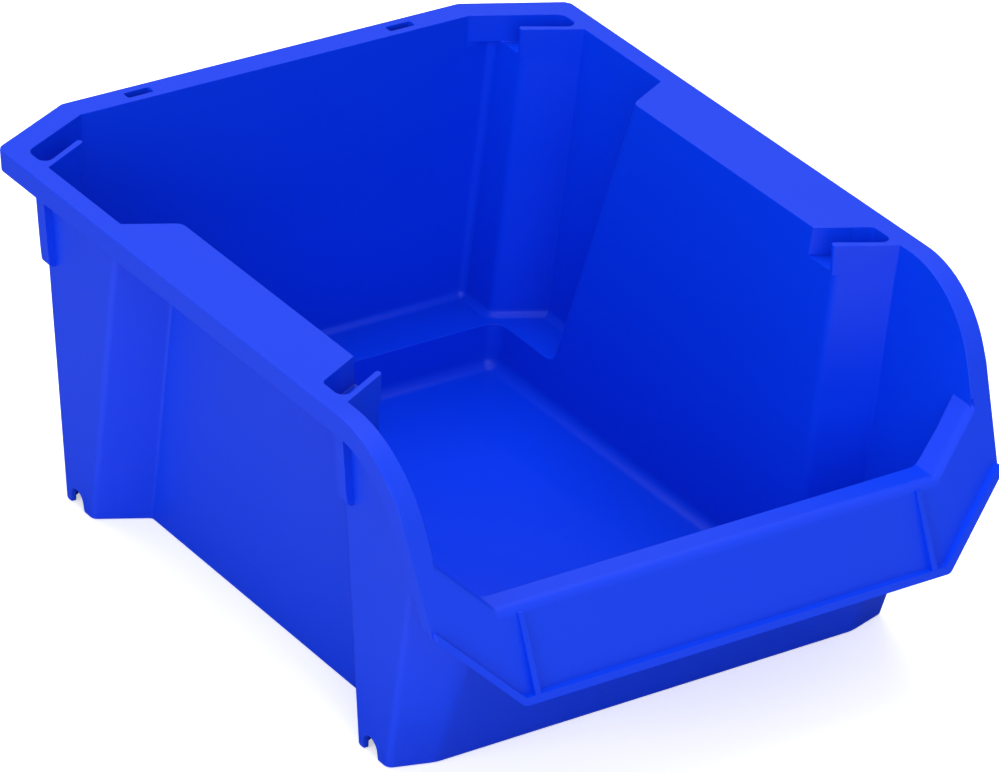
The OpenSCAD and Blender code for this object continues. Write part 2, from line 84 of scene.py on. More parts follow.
@dataclass(frozen=True)
class BinSizes:
    """Sizes of the bin, as in the CAD model, in millimetres and degrees."""

    width: float = 220.0
    depth: float = 280.0
    height: float = 124.0
    wall: float = 2.2
    rim: float = 7.3
    rim_back: float = 9.4
    skirt: float = 8.0
    corner_x: float = 33.5
    corner_y: float = 17.0
    corner_in: float = 1.5
    slot_x: float = 50.4
    slot_l: float = 9.5
    slot_w: float = 3.3
    draft: float = 5.0
    shelf: float = 17.0
    splay: float = 28.0
    lean: float = 13.9
    rear_col: float = 34.6
    front_col: float = 211.4
    foot: float = 17.0
    ledge_h: float = 18.3
    ledge_d: float = 31.0
    notch_w: float = 7.6
    notch_h: float = 6.6
    notch_gap: float = 3.6
    nib_h: float = 10.0
    nib_l: float = 17.5
    slot_gap: float = 11.2
    front_y: float = 232.9
    front_half: float = 79.0
    front_lean: float = 19.8
    face_lean: float = 23.0
    lip_h: float = 71.8
    label_h: float = 26.6
    lip_half: float = 81.5
    label_half: float = 79.4
    cheek_rise: float = 43.0
    shoulder_r: float = 39.0
    ledge_out: float = 2.5
    rib_top: float = 0.8
    rib_x: float = 74.1
    rib_w: float = 2.0
    tab_out: float = 2.9
    tab_l: float = 5.0
    tab_h: float = 26.0

    @property
    def half(self) -> float:
        """Half the width over the rim."""
        return self.width / 2

    @property
    def rise(self) -> float:
        """Rise of the lip's slanted ends for each millimetre across."""
        return tan(self.cheek_rise)

    @property
    def nib_floor(self) -> float:
        """Height of the floor of the stacking slots."""
        return self.height - self.nib_h

    @property
    def label_bottom(self) -> float:
        """Height of the label panel's bottom edge."""
        return self.lip_h - self.label_h

    def at(self, d: float) -> float:
        """Returns y of a point that lies d forward of the back of the bin."""
        return self.depth / 2 - d

    def x_col(self, z: float) -> float:
        """Returns x of the columns' outer face at height z."""
        return self.half - self.rim + self.wall - (self.height - z) * tan(self.draft)

    def x_in(self, z: float) -> float:
        """Returns x of the columns' inner face at height z."""
        return self.x_col(z) - self.wall

    def x_rec(self, z: float) -> float:
        """Returns x of the recessed side wall's outer face at height z."""
        return self.x_col(z) - self.shelf

    def x_flange(self, z: float) -> float:
        """Returns x of the shoulder's outer face at height z."""
        return self.half - (self.height - z) * tan(self.draft)

    def face(self, z: float) -> float:
        """Returns the distance from the back of the bin to the front plane at height z."""
        front = self.depth - self.ledge_out - self.label_h * tan(self.face_lean)
        return front + (self.lip_h - z) * tan(self.face_lean)

    def arc_start(self) -> float:
        """Returns the distance from the back of the bin to the start of the shoulder's arc."""
        return self.face(self.height) - self.shoulder_r * tan((90 - self.face_lean) / 2)

    def corners(self, z: float) -> list[Point]:
        """Returns the corners of the outer surface on the right at height z, from the back."""
        run = self.shelf * tan(self.splay)
        lean = z * tan(self.lean)
        rec, col = self.x_rec(z), self.x_col(z)
        front_x = self.front_half + z * (self.lip_half - self.front_half) / self.lip_h
        return [
            (rec, self.at(self.rim_back - self.wall)),
            (rec, self.at(self.rear_col) + run),
            (col, self.at(self.rear_col)),
            (col, self.at(self.rear_col + self.foot + lean)),
            (rec, self.at(self.rear_col + self.foot + lean) - run),
            (rec, self.at(self.front_col) + run),
            (col, self.at(self.front_col)),
            (col, self.at(self.front_col + self.foot + lean)),
            (front_x, self.at(self.front_y + z * tan(self.front_lean))),
        ]

    def column_back(self, d: float, x: float, z: float) -> float:
        """Returns y of the outer face of the back wall of the column that starts at d."""
        return self.at(d) + (self.x_col(z) - x) * tan(self.splay)

    def slot_edge(self, x: float) -> float:
        """Returns y of the shelf's front end at x."""
        return self.column_back(self.front_col, x, self.height) + self.slot_gap

    def corner_line(self, x: float) -> float:
        """Returns y of the rim's inner edge along its slanted rear corner at x."""
        start = self.half - self.corner_x - self.corner_in
        return self.at(self.rim_back) - (x - start) * self.corner_y / self.corner_x

    def meet(self, x_at: float, half: float, z: float) -> Point:
        """Finds where a slanted edge of the lip meets a face that follows the draft.

        Args:
            x_at: x of the drafted face at height z.
            half: x where the slanted edge starts.
            z: height where the slanted edge starts.

        Returns:
            x and z of the meeting point.
        """
        slope = tan(self.draft) * self.rise
        x = (x_at - half * slope) / (1 - slope)
        return x, z + (x - half) * self.rise


# ---------------------------------------------------------------- flat outlines


def unit(a: Point, b: Point) -> Point:
    """Returns the direction from a to b."""
    length = math.hypot(b[0] - a[0], b[1] - a[1]) or 1.0
    return (b[0] - a[0]) / length, (b[1] - a[1]) / length


def inward(points: list[Point], by: float) -> list[Point]:
    """Moves the corners of a clockwise outline inward.

    Args:
        points: corners, clockwise from above.
        by: distance to move each side.

    Returns:
        The corners of the smaller outline.
    """
    out = []
    for i, b in enumerate(points):
        d1, d2 = unit(points[i - 1], b), unit(b, points[(i + 1) % len(points)])
        n1, n2 = (d1[1], -d1[0]), (d2[1], -d2[0])
        k = by / (1 + n1[0] * n2[0] + n1[1] * n2[1])
        out.append((b[0] + k * (n1[0] + n2[0]), b[1] + k * (n1[1] + n2[1])))
    return out


def completed(right: list[Point]) -> list[Point]:
    """Completes the right half of an outline with its mirror image."""
    return right + [(-a, b) for a, b in reversed(right)]


def rounded(points: list[Point], radii: list[float], steps: int = 4) -> list[Point]:
    """Rounds the corners of a closed outline.

    Args:
        points: corners of the outline.
        radii: one radius for each corner.
        steps: number of straight pieces in each arc.

    Returns:
        The points of the rounded outline.
    """
    out = []
    for i, b in enumerate(points):
        d1, d2 = unit(points[i - 1], b), unit(b, points[(i + 1) % len(points)])
        turn = math.acos(max(-1.0, min(1.0, d1[0] * d2[0] + d1[1] * d2[1])))
        if radii[i] <= 0 or turn < 1e-3:
            out.append(b)
            continue
        back = radii[i] * math.tan(turn / 2)
        side = 1.0 if d1[0] * d2[1] - d1[1] * d2[0] > 0 else -1.0
        start = (b[0] - d1[0] * back, b[1] - d1[1] * back)
        centre = (start[0] - side * d1[1] * radii[i], start[1] + side * d1[0] * radii[i])
        for k in range(steps + 1):
            a = side * turn * k / steps
            rx, ry = start[0] - centre[0], start[1] - centre[1]
            out.append((
                centre[0] + rx * math.cos(a) - ry * math.sin(a),
                centre[1] + rx * math.sin(a) + ry * math.cos(a),
            ))
    return out


def raised(points: list[Point], z: float) -> Loop:
    """Lifts a flat outline to height z."""
    return [(x, y, z) for x, y in points]


# ---------------------------------------------------------------- solids


class Join(Enum):
    """How one solid acts on another."""

    ADD = "UNION"
    CUT = "DIFFERENCE"
    KEEP = "INTERSECT"


def loft(name: str, loops: list[Loop], mirrored: bool = False) -> bpy.types.Object:
    """Builds a closed solid through loops that have the same number of points.

    Args:
        name: name of the object.
        loops: outlines in millimetres, from one end of the solid to the other.
        mirrored: whether the solid is reflected to the left-hand side.

    Returns:
        The new object.
    """
    bm = bmesh.new()
    sign = -1.0 if mirrored else 1.0
    rows = [[bm.verts.new((sign * x * MM, y * MM, z * MM)) for x, y, z in loop] for loop in loops]
    n = len(rows[0])
    for low, high in zip(rows, rows[1:]):
        for i in range(n):
            bm.faces.new((low[i], low[(i + 1) % n], high[(i + 1) % n], high[i]))
    bm.faces.new(rows[0])
    bm.faces.new(rows[-1])
    bmesh.ops.recalc_face_normals(bm, faces=bm.faces)
    return to_object(bm, name)


def prism(
    name: str, points: list[Point], z0: float, z1: float, mirrored: bool = False
) -> bpy.types.Object:
    """Builds an upright prism on a flat outline from z0 to z1."""
    return loft(name, [raised(points, z0), raised(points, z1)], mirrored)


def to_object(bm: bmesh.types.BMesh, name: str) -> bpy.types.Object:
    """Turns a bmesh into a linked object and frees it."""
    mesh = bpy.data.meshes.new(name)
    bm.to_mesh(mesh)
    bm.free()
    obj = bpy.data.objects.new(name, mesh)
    bpy.context.scene.collection.objects.link(obj)
    return obj


def evaluated(obj: bpy.types.Object) -> bpy.types.Mesh:
    """Returns a copy of the object's mesh with its modifiers applied."""
    bpy.context.view_layer.update()
    graph = bpy.context.evaluated_depsgraph_get()
    return bpy.data.meshes.new_from_object(obj.evaluated_get(graph))


def remove(obj: bpy.types.Object) -> None:
    """Deletes an object and its mesh."""
    mesh = obj.data
    bpy.data.objects.remove(obj)
    bpy.data.meshes.remove(mesh)


def combine(body: bpy.types.Object, tools: list[bpy.types.Object], join: Join) -> None:
    """Applies tools to a body, one after another, and deletes them.

    Args:
        body: the solid that is changed.
        tools: the solids that are added, cut away or kept.
        join: what the tools do.
    """
    for tool in tools:
        step = body.modifiers.new("step", "BOOLEAN")
        step.operation = join.value
        step.object = tool
        step.solver = "MANIFOLD"
    mesh = evaluated(body)
    old = body.data
    body.modifiers.clear()
    body.data = mesh
    bpy.data.meshes.remove(old)
    for tool in tools:
        remove(tool)


def cleaned(obj: bpy.types.Object, flat: float) -> None:
    """Merges doubled points and joins faces that lie in one plane.

    Args:
        obj: the object to clean.
        flat: largest angle in degrees at which two faces count as one plane.
    """
    bm = bmesh.new()
    bm.from_mesh(obj.data)
    bmesh.ops.remove_doubles(bm, verts=bm.verts, dist=0.004 * MM)
    bmesh.ops.dissolve_degenerate(bm, edges=bm.edges, dist=0.004 * MM)
    bmesh.ops.dissolve_limit(
        bm, angle_limit=math.radians(flat), verts=bm.verts, edges=bm.edges,
        use_dissolve_boundaries=False,
    )
    bm.to_mesh(obj.data)
    bm.free()


def crossings(mesh: bpy.types.Mesh) -> list[Vector]:
    """Finds places where the outline of a face crosses itself.

    Args:
        mesh: the mesh to look through.

    Returns:
        A point at each crossing.
    """
    mesh.calc_loop_triangles()
    turned = {
        triangle.polygon_index for triangle in mesh.loop_triangles
        if triangle.area > 0.05 * MM**2
        and triangle.normal.dot(mesh.polygons[triangle.polygon_index].normal) < 0
    }
    spots = []
    for index in sorted(turned):
        face = mesh.polygons[index]
        turn = face.normal.rotation_difference(Vector((0, 0, 1)))
        ids = list(face.vertices)
        flat = [(turn @ mesh.vertices[i].co).to_2d() for i in ids]
        sides = [(k, (k + 1) % len(ids)) for k in range(len(ids))]
        for n, (a, b) in enumerate(sides):
            for c, d in sides[n + 1:]:
                if {ids[a], ids[b]} & {ids[c], ids[d]}:
                    continue
                if intersect_line_line_2d(flat[a], flat[b], flat[c], flat[d]):
                    spots += [mesh.vertices[ids[k]].co.copy() for k in (a, b, c, d)]
    return spots


# ---------------------------------------------------------------- the moulding


@dataclass(frozen=True)
class Softness:
    """Radii of the moulding's corners and edges, in millimetres."""

    back_corner: float = 5.0
    column: float = 2.8
    groove: float = 1.6
    front_corner: float = 14.0
    foot_bottom: float = 0.8
    floor: float = 3.0
    well_edge: float = 4.0
    well_corner: float = 5.0
    rim_corner: float = 3.0
    lip: float = 4.4
    outer_slot: float = 4.5
    inner_slot: float = 2.6
    edge: float = 0.4
    sharp: float = 32.0
    tries: int = 8


class Moulding:
    """The whole bin as one closed form, before it is divided into its regions."""

    def __init__(self, sizes: BinSizes, soft: Softness) -> None:
        """Keeps the sizes and the radii."""
        self.s = sizes
        self.soft = soft
        self.body: bpy.types.Object | None = None

    def ring(self, z: float, inset: float) -> Loop:
        """Draws the wall's outline at one height.

        Args:
            z: height of the outline.
            inset: distance inside the outer surface.

        Returns:
            The rounded outline, clockwise from above.
        """
        soft = self.soft
        radii = [
            soft.back_corner, -soft.groove, soft.column, soft.column, -soft.groove,
            -soft.groove, soft.column, soft.column, soft.front_corner,
        ]
        turned = [max(r - inset, 0.6) if r > 0 else inset - r for r in radii + radii[::-1]]
        return raised(rounded(inward(completed(self.s.corners(z)), inset), turned), z)

    def pair(self, name: str, loops: list[Loop]) -> list[bpy.types.Object]:
        """Builds a solid on the right and its mirror image on the left."""
        return [loft(name, loops), loft(name, loops, mirrored=True)]

    def upright(
        self, name: str, points: list[Point], z0: float, z1: float
    ) -> list[bpy.types.Object]:
        """Builds a prism on the right and its mirror image on the left."""
        return self.pair(name, [raised(points, z0), raised(points, z1)])

    def outside(self) -> bpy.types.Object:
        """Builds the outer form of the walls, rounded at the bottom."""
        s, r = self.s, self.soft.foot_bottom
        loops = [self.ring(r * (1 - cos(a)), r * (1 - sin(a))) for a in QUARTER_TURN]
        loops += [self.ring(z, 0.0) for z in (s.ledge_h, *WALL_LEVELS, s.height)]
        return loft("outside", loops)

    def inside(self) -> bpy.types.Object:
        """Builds the space inside the walls, above the ledge and the pocket floors."""
        s, r = self.s, self.soft.floor
        loops = [
            self.ring(s.ledge_h + r * (1 - cos(a)), s.wall + r * (1 - sin(a)))
            for a in QUARTER_TURN
        ]
        loops += [self.ring(z, s.wall) for z in (*WALL_LEVELS, s.height + 3)]
        return loft("inside", loops)

    def well(self) -> bpy.types.Object:
        """Builds the space over the floor, between the risers."""
        s, r = self.s, self.soft.well_edge

        def ring(z: float, inset: float) -> Loop:
            front = inward(completed(s.corners(z)), s.wall)[WALL_END][1]
            x = s.x_rec(z) - s.wall - inset
            y0, y1 = front + inset, s.at(s.ledge_d) - inset
            radius = max(self.soft.well_corner - inset, 1.0)
            return raised(rounded([(-x, y1), (x, y1), (x, y0), (-x, y0)], [radius] * 4), z)

        loops = [ring(s.wall + r * (1 - cos(a)), r * (1 - sin(a))) for a in QUARTER_TURN]
        loops.append(ring(s.ledge_h + 4.0, 0.0))
        return loft("well", loops)

    def mouth(self) -> bpy.types.Object:
        """Builds the space above the lip, which opens the front."""
        s = self.s
        x, z = s.meet(s.x_in(s.lip_h), s.lip_half, s.lip_h)
        top = s.height + 3
        outline = completed([(s.lip_half, s.lip_h), (x, z), (s.x_in(top), top)])
        ends = (s.at(222), s.at(s.depth + 20))
        return loft("mouth", [[(px, y, pz) for px, pz in outline] for y in ends])

    def before_shoulder(self) -> bpy.types.Object:
        """Builds the space outside the shoulder's curve, over the whole width."""
        s = self.s
        _, low = s.meet(s.x_in(s.lip_h), s.lip_half, s.lip_h)
        curve = self.profile(1.0, 1.0, low + 1.0)
        before, top = s.at(s.face(low)) - 20, s.height + 5
        outline = [*curve, (before, low + 1.0), (before, top), (curve[0][0], top)]
        ends = (-s.width, s.width)
        return loft("before_shoulder", [[(x, y, z) for y, z in outline] for x in ends])

    def under_ledge(self) -> bpy.types.Object:
        """Builds the space below the rear ledge, which is open at the back."""
        s = self.s
        z1 = s.ledge_h - s.wall
        y0, y1 = s.at(s.ledge_d - s.wall), s.at(0)
        loops = []
        for z in (-1.0, z1):
            x = s.x_rec(z) + 0.02
            loops.append([(-x, y1, z), (x, y1, z), (x, y0, z), (-x, y0, z)])
        return loft("under_ledge", loops)

    def foot_hollows(self) -> list[bpy.types.Object]:
        """Builds the spaces below the pocket floors."""
        s = self.s
        out = []
        for first, last in ((1, 4), (5, 8)):
            loops = []
            for z in (-1.0, s.ledge_h - s.wall):
                inner = inward(completed(s.corners(z)), s.wall)
                x = s.x_rec(z)
                slope = tan(s.splay)
                start = (x, inner[first + 1][1] + (inner[first + 1][0] - x) * slope)
                if last == 4:
                    end = [(x, inner[3][1] - (inner[3][0] - x) * slope)]
                else:
                    end = [inner[WALL_END], (x, inner[WALL_END][1])]
                points = [start, *inner[first + 1:last], *end]
                radii = [0.4] + [1.2] * (last - first - 1) + [0.4] * len(end)
                loops.append(raised(rounded(points, radii, 3), z))
            out += self.pair("foot_hollow", loops)
        return out

    def rim(self) -> bpy.types.Object:
        """Builds the flat rim with the skirt that hangs from its edge."""
        s, r = self.s, self.soft.rim_corner
        front = s.at(s.arc_start() + 0.5)

        def outline(z: float, y: float, inset: float, radius: float) -> Loop:
            x = s.x_flange(z)
            right = [(s.half - s.corner_x, s.at(0)), (x, s.at(s.corner_y)), (x, y)]
            ring = inward(completed(right), inset)
            return raised(rounded(ring, [radius, radius, 0, 0, radius, radius]), z)

        low, top = s.height - s.skirt, s.height
        body = loft("rim", [outline(z, front, 0.0, r) for z in (low, top)])
        ends = (low - 1, top - s.wall)
        hollow = loft("rim_hollow", [outline(z, front - 10, s.wall, 0.8) for z in ends])
        combine(body, [hollow], Join.CUT)
        return body

    def slot_blocks(self) -> list[bpy.types.Object]:
        """Builds the material around the stacking slots, before they are cut."""
        s = self.s
        x1 = s.x_in(s.height)
        x2 = x1 + s.wall
        z0 = s.nib_floor - s.wall
        xa = s.x_rec(z0) - 1
        drop = s.wall * math.hypot(1, s.corner_y / s.corner_x)
        rear = [
            (xa, s.corner_line(xa) + drop), (x2, s.corner_line(x2) + drop),
            (x2, s.at(s.rear_col)), (x2 - 2, s.column_back(s.rear_col, x2 - 2, z0) - 1),
            (xa, s.column_back(s.rear_col, xa, z0) - 1),
        ]
        drop = s.wall / cos(s.splay)
        front = [
            (xa, s.slot_edge(xa) + drop), (x2, s.slot_edge(x2) + drop),
            (x2, s.at(s.front_col)), (x2 - 2, s.column_back(s.front_col, x2 - 2, z0) - 1),
            (xa, s.column_back(s.front_col, xa, z0) - 1),
        ]
        top = s.height - 0.5
        blocks = self.upright("rear_block", rear, z0, top)
        return blocks + self.upright("front_block", front, z0, top)

    def slot_wedges(self) -> list[bpy.types.Object]:
        """Builds the fill between the back wall and the rim's slanted corner."""
        s = self.s
        x0, x1 = s.half - s.corner_x - s.corner_in, s.x_rec(s.nib_floor) + 0.5
        y = s.at(s.rim_back)
        points = [(x0 - 1.4, y + 0.7), (x1, y + 0.7), (x1, s.corner_line(x1)), (x0, y)]
        return self.upright("wedge", points, s.nib_floor, s.height)

    def slots(self) -> list[bpy.types.Object]:
        """Builds the four stacking slots as spaces."""
        s = self.s
        x1 = s.x_in(s.height)
        xa = s.x_rec(s.nib_floor) - s.wall - 2.5
        z = s.nib_floor
        rear = rounded(
            [
                (xa, s.corner_line(xa)), (x1, s.corner_line(x1)),
                (x1, s.column_back(s.rear_col, x1, z)), (xa, s.column_back(s.rear_col, xa, z)),
            ],
            [0, self.soft.outer_slot, self.soft.inner_slot, 0],
        )
        front = rounded(
            [
                (xa, s.slot_edge(xa)), (x1, s.slot_edge(x1)),
                (x1, s.column_back(s.front_col, x1, z)), (xa, s.column_back(s.front_col, xa, z)),
            ],
            [0, self.soft.inner_slot, self.soft.inner_slot, 0],
        )
        top = s.height + 2
        return self.upright("rear_slot", rear, z, top) + self.upright("front_slot", front, z, top)

    def nibs(self) -> list[bpy.types.Object]:
        """Builds the nibs, each with a rounded inner end."""
        s = self.s
        r = s.wall / 2
        x0 = s.x_in(s.height) - s.nib_l
        length = (s.nib_l + 1.0) / cos(s.splay)
        out = []
        for d in (s.rear_col, s.front_col):
            y0 = s.column_back(d, x0, s.nib_floor) - r / cos(s.splay)
            tip = [
                (x0 + r * cos(a + 180 - s.splay), y0 + r * sin(a + 180 - s.splay))
                for a in range(-90, 91, 15)
            ]
            along, aside = length * cos(s.splay), length * sin(s.splay)
            far = [(px + along, py - aside) for px, py in (tip[-1], tip[0])]
            out += self.upright("nib", tip + far, s.nib_floor - 0.6, s.height)
        return out

    def profile(self, inset: float, end_inset: float, low: float) -> list[Point]:
        """Draws the shoulder's side profile.

        Args:
            inset: distance inside the outer edge along the arc.
            end_inset: distance inside the front plane at the lower end.
            low: height of the lower end.

        Returns:
            Points in y and z, from the rim down.
        """
        s = self.s
        r = s.shoulder_r
        steps = 20
        arc = []
        for k in range(steps + 1):
            a = 90 - (90 - s.face_lean) * k / steps
            y = s.at(s.arc_start()) - (r - inset) * cos(a)
            arc.append((y, s.height - r + (r - inset) * sin(a)))
        return arc + [(s.at(s.face(low)) + end_inset / cos(s.face_lean), low)]

    def side_strip(
        self, name: str, outline: list[Point], lo: float, hi: float
    ) -> list[bpy.types.Object]:
        """Builds a solid from a side outline, between two faces that follow the draft.

        Args:
            name: name of the solid.
            outline: closed outline in y and z.
            lo: distance of the inner face inside the shoulder's outer face.
            hi: distance of the outer face inside the shoulder's outer face.

        Returns:
            The right-hand and the left-hand solid.
        """
        s = self.s
        return self.pair(
            name, [[(s.x_flange(z) - off, y, z) for y, z in outline] for off in (lo, hi)]
        )

    def shoulders(self) -> list[bpy.types.Object]:
        """Builds the rim's turned-down ends, their skirts and the column sides behind them."""
        s = self.s
        back = s.at(s.arc_start() - 4)
        flange_low = s.height - s.shoulder_r + 6
        outer = self.profile(0, 0, flange_low)
        inner = self.profile(s.wall, s.wall, flange_low)
        plate = [(back, s.height)] + outer + inner[::-1] + [(back, s.height - s.wall)]
        _, low = s.meet(s.x_flange(s.label_bottom), s.label_half, s.label_bottom)
        outer = self.profile(0, 0.4, low + 0.8)
        inner = self.profile(s.skirt, 5.0, low + 0.8)
        skirt = [(back, s.height - 0.4)] + outer + inner[::-1] + [(back, s.height - s.skirt)]
        _, top = s.meet(s.x_in(s.lip_h), s.lip_half, s.lip_h)
        low = top - s.wall - 0.4
        crease = s.corners(low)[COLUMN_END][1] + 3.0
        behind = s.at(217)
        curve = self.profile(1.0, 1.0, low)
        side = [(behind, s.height - 1.0), *curve, (crease, low), (behind, low)]
        return (
            self.side_strip("shoulder", plate, s.rim + 0.001, 0.0)
            + self.side_strip("shoulder_skirt", skirt, s.wall, 0.0)
            + self.side_strip("column_front", side, s.rim, s.rim - s.wall)
        )

    def on_face(self, points: list[Point], out: float) -> Loop:
        """Lays a front-view outline on the front plane, moved out by a distance."""
        s = self.s
        return [(x, s.at(s.face(z) + out), z) for x, z in points]

    def face_plate(self) -> bpy.types.Object:
        """Builds the label panel with its cheeks, up to the shoulders."""
        s = self.s
        xe, ze = s.meet(s.x_flange(s.label_bottom), s.label_half, s.label_bottom)
        _, zg = s.meet(s.x_in(s.lip_h), s.lip_half, s.lip_h)
        zq = s.height - s.shoulder_r + s.shoulder_r * sin(s.face_lean)
        drop = 5.5
        right = [
            (s.label_half, s.label_bottom), (xe, ze), (s.x_flange(zq), zq), (s.x_in(zq) - 0.01, zq),
            (s.x_in(zg + 1) + 1.0, zg + 1.0 - drop * 0.4), (s.lip_half + 0.5, s.lip_h - drop),
        ]
        outline = completed(right)
        back = -s.wall / cos(s.face_lean)
        return loft("face_plate", [self.on_face(outline, 0.0), self.on_face(outline, back)])

    def lip_strip(self) -> bpy.types.Object:
        """Builds the strip along the top of the lip, with its soft outer edge."""
        s = self.s
        t = s.wall / cos(s.face_lean)
        xg, zg = s.meet(s.x_in(s.lip_h), s.lip_half, s.lip_h)
        xg, zg = xg + 1.2, zg + 1.2 * s.rise
        loops = []
        for x, z in ((-xg, zg), (-s.lip_half, s.lip_h), (s.lip_half, s.lip_h), (xg, zg)):
            if abs(x) > s.lip_half:
                back = s.corners(zg)[COLUMN_END][1] + 0.9
            else:
                back = s.corners(z)[WALL_END][1] + 1.1
            low = z - 7.0
            section = [
                (back, z - s.wall), (back, z), (s.at(s.face(z)), z), (s.at(s.face(low)), low),
                (s.at(s.face(low)) + t, low), (s.at(s.face(z - s.wall)) + t, z - s.wall),
            ]
            section = rounded(section, [0, 0, self.soft.lip, 0, 0, 2.0], 6)
            loops.append([(x, py, pz) for py, pz in section])
        return loft("lip_strip", loops)

    def label_ledge(self) -> bpy.types.Object:
        """Builds the proud edge along the bottom of the label panel and the cheeks."""
        s = self.s
        xe, ze = s.meet(s.x_flange(s.label_bottom), s.label_half, s.label_bottom)
        t = s.wall / cos(s.cheek_rise)
        x0 = s.label_half + (s.wall - t) / s.rise
        x1, z1 = xe - 0.2, ze - 0.2 * s.rise
        z0 = s.label_bottom
        right = [(s.label_half, z0), (x1, z1), (x1, z1 + t), (x0, z0 + s.wall)]
        radii = [3.0, 0.5, 0.5, 1.5]
        outline = rounded(completed(right), radii + radii[::-1], 4)
        loops = [self.on_face(outline, s.ledge_out), self.on_face(outline, -0.8)]
        return loft("label_ledge", loops)

    def ribs(self) -> list[bpy.types.Object]:
        """Builds the two ribs that hold a label at its ends."""
        s = self.s
        z0, z1 = s.label_bottom + 1.0, s.lip_h - 1.6
        loops = []
        for x in (s.rib_x - s.rib_w / 2, s.rib_x + s.rib_w / 2):
            loops.append([
                (x, s.at(s.face(z0) - 0.6), z0), (x, s.at(s.face(z1) - 0.6), z1),
                (x, s.at(s.face(z1) + s.rib_top), z1),
                (x, s.at(s.face(z0) + s.ledge_out - 0.1), z0),
            ])
        return self.pair("rib", loops)

    def tabs(self) -> list[bpy.types.Object]:
        """Builds the four tabs under the rim."""
        s = self.s
        low = s.height - s.skirt - s.tab_h
        r = s.tab_out * 0.8
        out = []
        for d in (s.rear_col, s.front_col):
            y0, y1 = s.at(d + 1), s.at(d + 1 + s.tab_l)
            x = s.x_col(low) + s.tab_out
            curve = [(x - r + r * cos(a), low + r + r * sin(a)) for a in range(-90, 1, 15)]
            outline = [
                (s.x_col(s.height - 2) - 1, s.height - 2), (s.x_col(low) - 1, low), *curve,
                (s.x_col(s.height - 2) + s.tab_out, s.height - 2),
            ]
            out += self.pair("tab", [[(px, y, pz) for px, pz in outline] for y in (y0, y1)])
        return out

    def notches(self) -> list[bpy.types.Object]:
        """Builds the arched notches in the feet as spaces."""
        s = self.s
        r = s.notch_w / 2
        out = []
        for d in (s.rear_col, s.front_col):
            y = s.at(d + s.notch_gap + r)
            top = [(y + r * cos(a), s.notch_h - r + r * sin(a)) for a in range(0, 181, 15)]
            outline = top + [
                (y - r - 0.3, 0.0), (y - r - 1.0, -1.0), (y + r + 1.0, -1.0), (y + r + 0.3, 0.0)
            ]
            out += self.pair("notch", [[(x, py, pz) for py, pz in outline] for x in (85.0, s.half)])
        return out

    def hanging_slots(self) -> list[bpy.types.Object]:
        """Builds the two through slots in the back rim as spaces."""
        s = self.s
        y = s.at(s.rim_back / 2)
        b = s.slot_w / 2
        x0, x1 = s.slot_x - s.slot_l / 2, s.slot_x + s.slot_l / 2
        outline = rounded([(x1, y + b), (x1, y - b), (x0, y - b), (x0, y + b)], [0.6] * 4)
        return self.upright("hanging_slot", outline, s.height - 2 * s.wall, s.height + 1)

    def build(self) -> bpy.types.Object:
        """Joins and cuts the whole form.

        Returns:
            The finished body, with sharp edges.
        """
        body = self.outside()
        combine(body, [self.rim(), *self.slot_blocks()], Join.ADD)
        cuts = [self.inside(), self.well(), self.mouth(), self.before_shoulder()]
        cuts += [self.under_ledge(), *self.foot_hollows()]
        combine(body, cuts, Join.CUT)
        adds = [*self.slot_wedges(), *self.shoulders(), self.face_plate(), self.lip_strip()]
        adds += [self.label_ledge(), *self.ribs(), *self.tabs()]
        combine(body, adds, Join.ADD)
        combine(body, [*self.slots(), *self.notches(), *self.hanging_slots()], Join.CUT)
        combine(body, self.nibs(), Join.ADD)
        cleaned(body, 0.6)
        body.name = "moulding"
        self.body = body
        return body

    def round_edges(self) -> None:
        """Rounds the sharp edges a little, except the few where there is no room for it."""
        body, limit = self.body, math.radians(self.soft.sharp)
        width = self.soft.edge * MM
        bm = bmesh.new()
        bm.from_mesh(body.data)
        tree = BVHTree.FromBMesh(bm)
        layer = bm.edges.layers.float.new("bevel_weight_edge")
        for edge in bm.edges:
            edge[layer] = float(edge.is_manifold and edge.calc_face_angle() > limit)
        for _ in range(self.soft.tries):
            bm.to_mesh(body.data)
            bevel = body.modifiers.new("edge", "BEVEL")
            bevel.width = width
            bevel.segments = 2
            bevel.limit_method = "WEIGHT"
            bevel.use_clamp_overlap = False
            mesh = evaluated(body)
            body.modifiers.clear()
            spikes = []
            for vertex in mesh.vertices:
                near, _, _, away = tree.find_nearest(vertex.co)
                if away > 1.25 * width:
                    spikes.append((near, away + 2 * width))
            spikes += [(spot, 2.2 * width) for spot in crossings(mesh)]
            if not spikes:
                break
            LOG.info("rounding left %d points out of place", len(spikes))
            for edge in bm.edges:
                middle = (edge.verts[0].co + edge.verts[1].co) / 2
                reach = edge.calc_length() / 2
                for spot, radius in spikes:
                    if (middle - spot).length < radius + reach and min(
                        (end.co - spot).length for end in edge.verts
                    ) < radius:
                        edge[layer] = 0.0
        bm.free()
        body.data = mesh
        bm = bmesh.new()
        bm.from_mesh(mesh)
        bmesh.ops.remove_doubles(bm, verts=bm.verts, dist=0.002 * MM)
        bmesh.ops.dissolve_degenerate(bm, edges=bm.edges, dist=0.002 * MM)
        bm.to_mesh(mesh)
        bm.free()


# ---------------------------------------------------------------- regions


class Side(Enum):
    """Which part of the bin a region lies in."""

    MIDDLE = ""
    LEFT = "_left"
    RIGHT = "_right"


